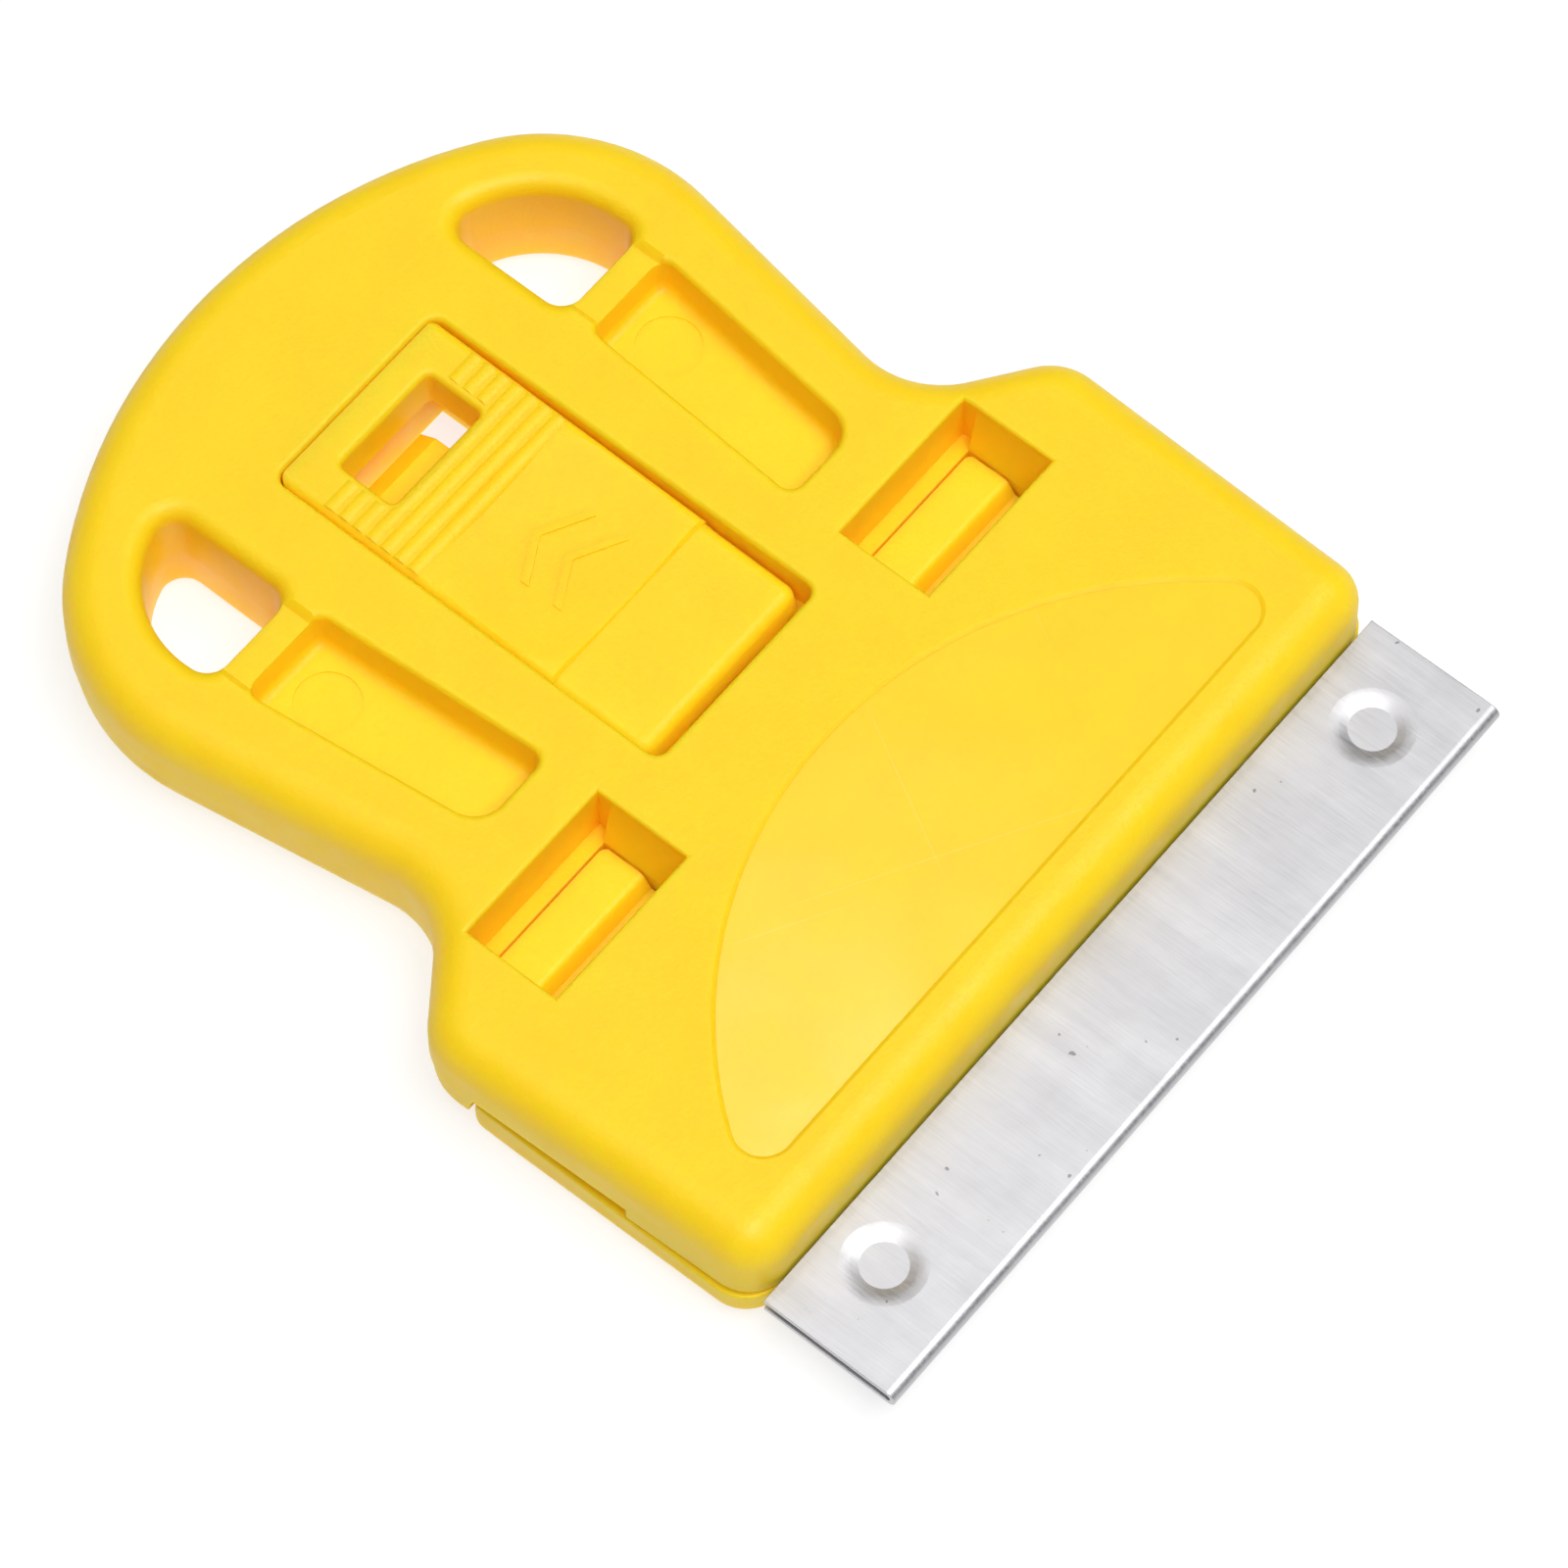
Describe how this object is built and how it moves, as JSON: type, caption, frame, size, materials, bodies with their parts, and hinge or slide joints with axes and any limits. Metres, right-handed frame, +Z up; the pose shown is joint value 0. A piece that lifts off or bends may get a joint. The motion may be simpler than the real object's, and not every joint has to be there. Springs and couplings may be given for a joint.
{
  "type": "razor blade scraper",
  "caption": "Small moulded-plastic razor scraper with grip holes, a rocking thumb clamp, a single-edge blade and a folded aluminium edge guard.",
  "frame": {"origin": "middle of the tool's flat underside, centred on its full length and width", "axes": "+Z up out of the thumb side, +Y towards the blade and its guard, X across the tool"},
  "size_m": [0.0422, 0.0548, 0.0062],
  "materials": {
    "handle_plastic": "bright yellow moulded plastic, fine matte spark texture, polished D-shaped panel",
    "lever_plastic": "the same yellow moulded plastic as the handle",
    "blade_steel": "ground carbon steel",
    "spine_steel": "rolled steel strip",
    "guard_aluminium": "mill-finish aluminium strip with fine lengthwise rolling lines and light scratches"
  },
  "bodies": {
    "handle": {"handle_body": "handle_plastic", "razor_blade": "blade_steel", "blade_spine": "spine_steel"},
    "lever": {"clamp_lever": "lever_plastic"},
    "guard": {"blade_guard": "guard_aluminium"}
  },
  "joints": [
    {"name": "clamp_hinge", "type": "hinge", "parent": "handle", "child": "lever", "pos_m": [0, 0.00386, 0.0021], "axis": [-1, 0, 0], "range_deg": [0, 14]},
    {"name": "guard_slide", "type": "slide", "parent": "handle", "child": "guard", "axis": [0, 1, 0], "range_m": [0, 0.02]}
  ]
}
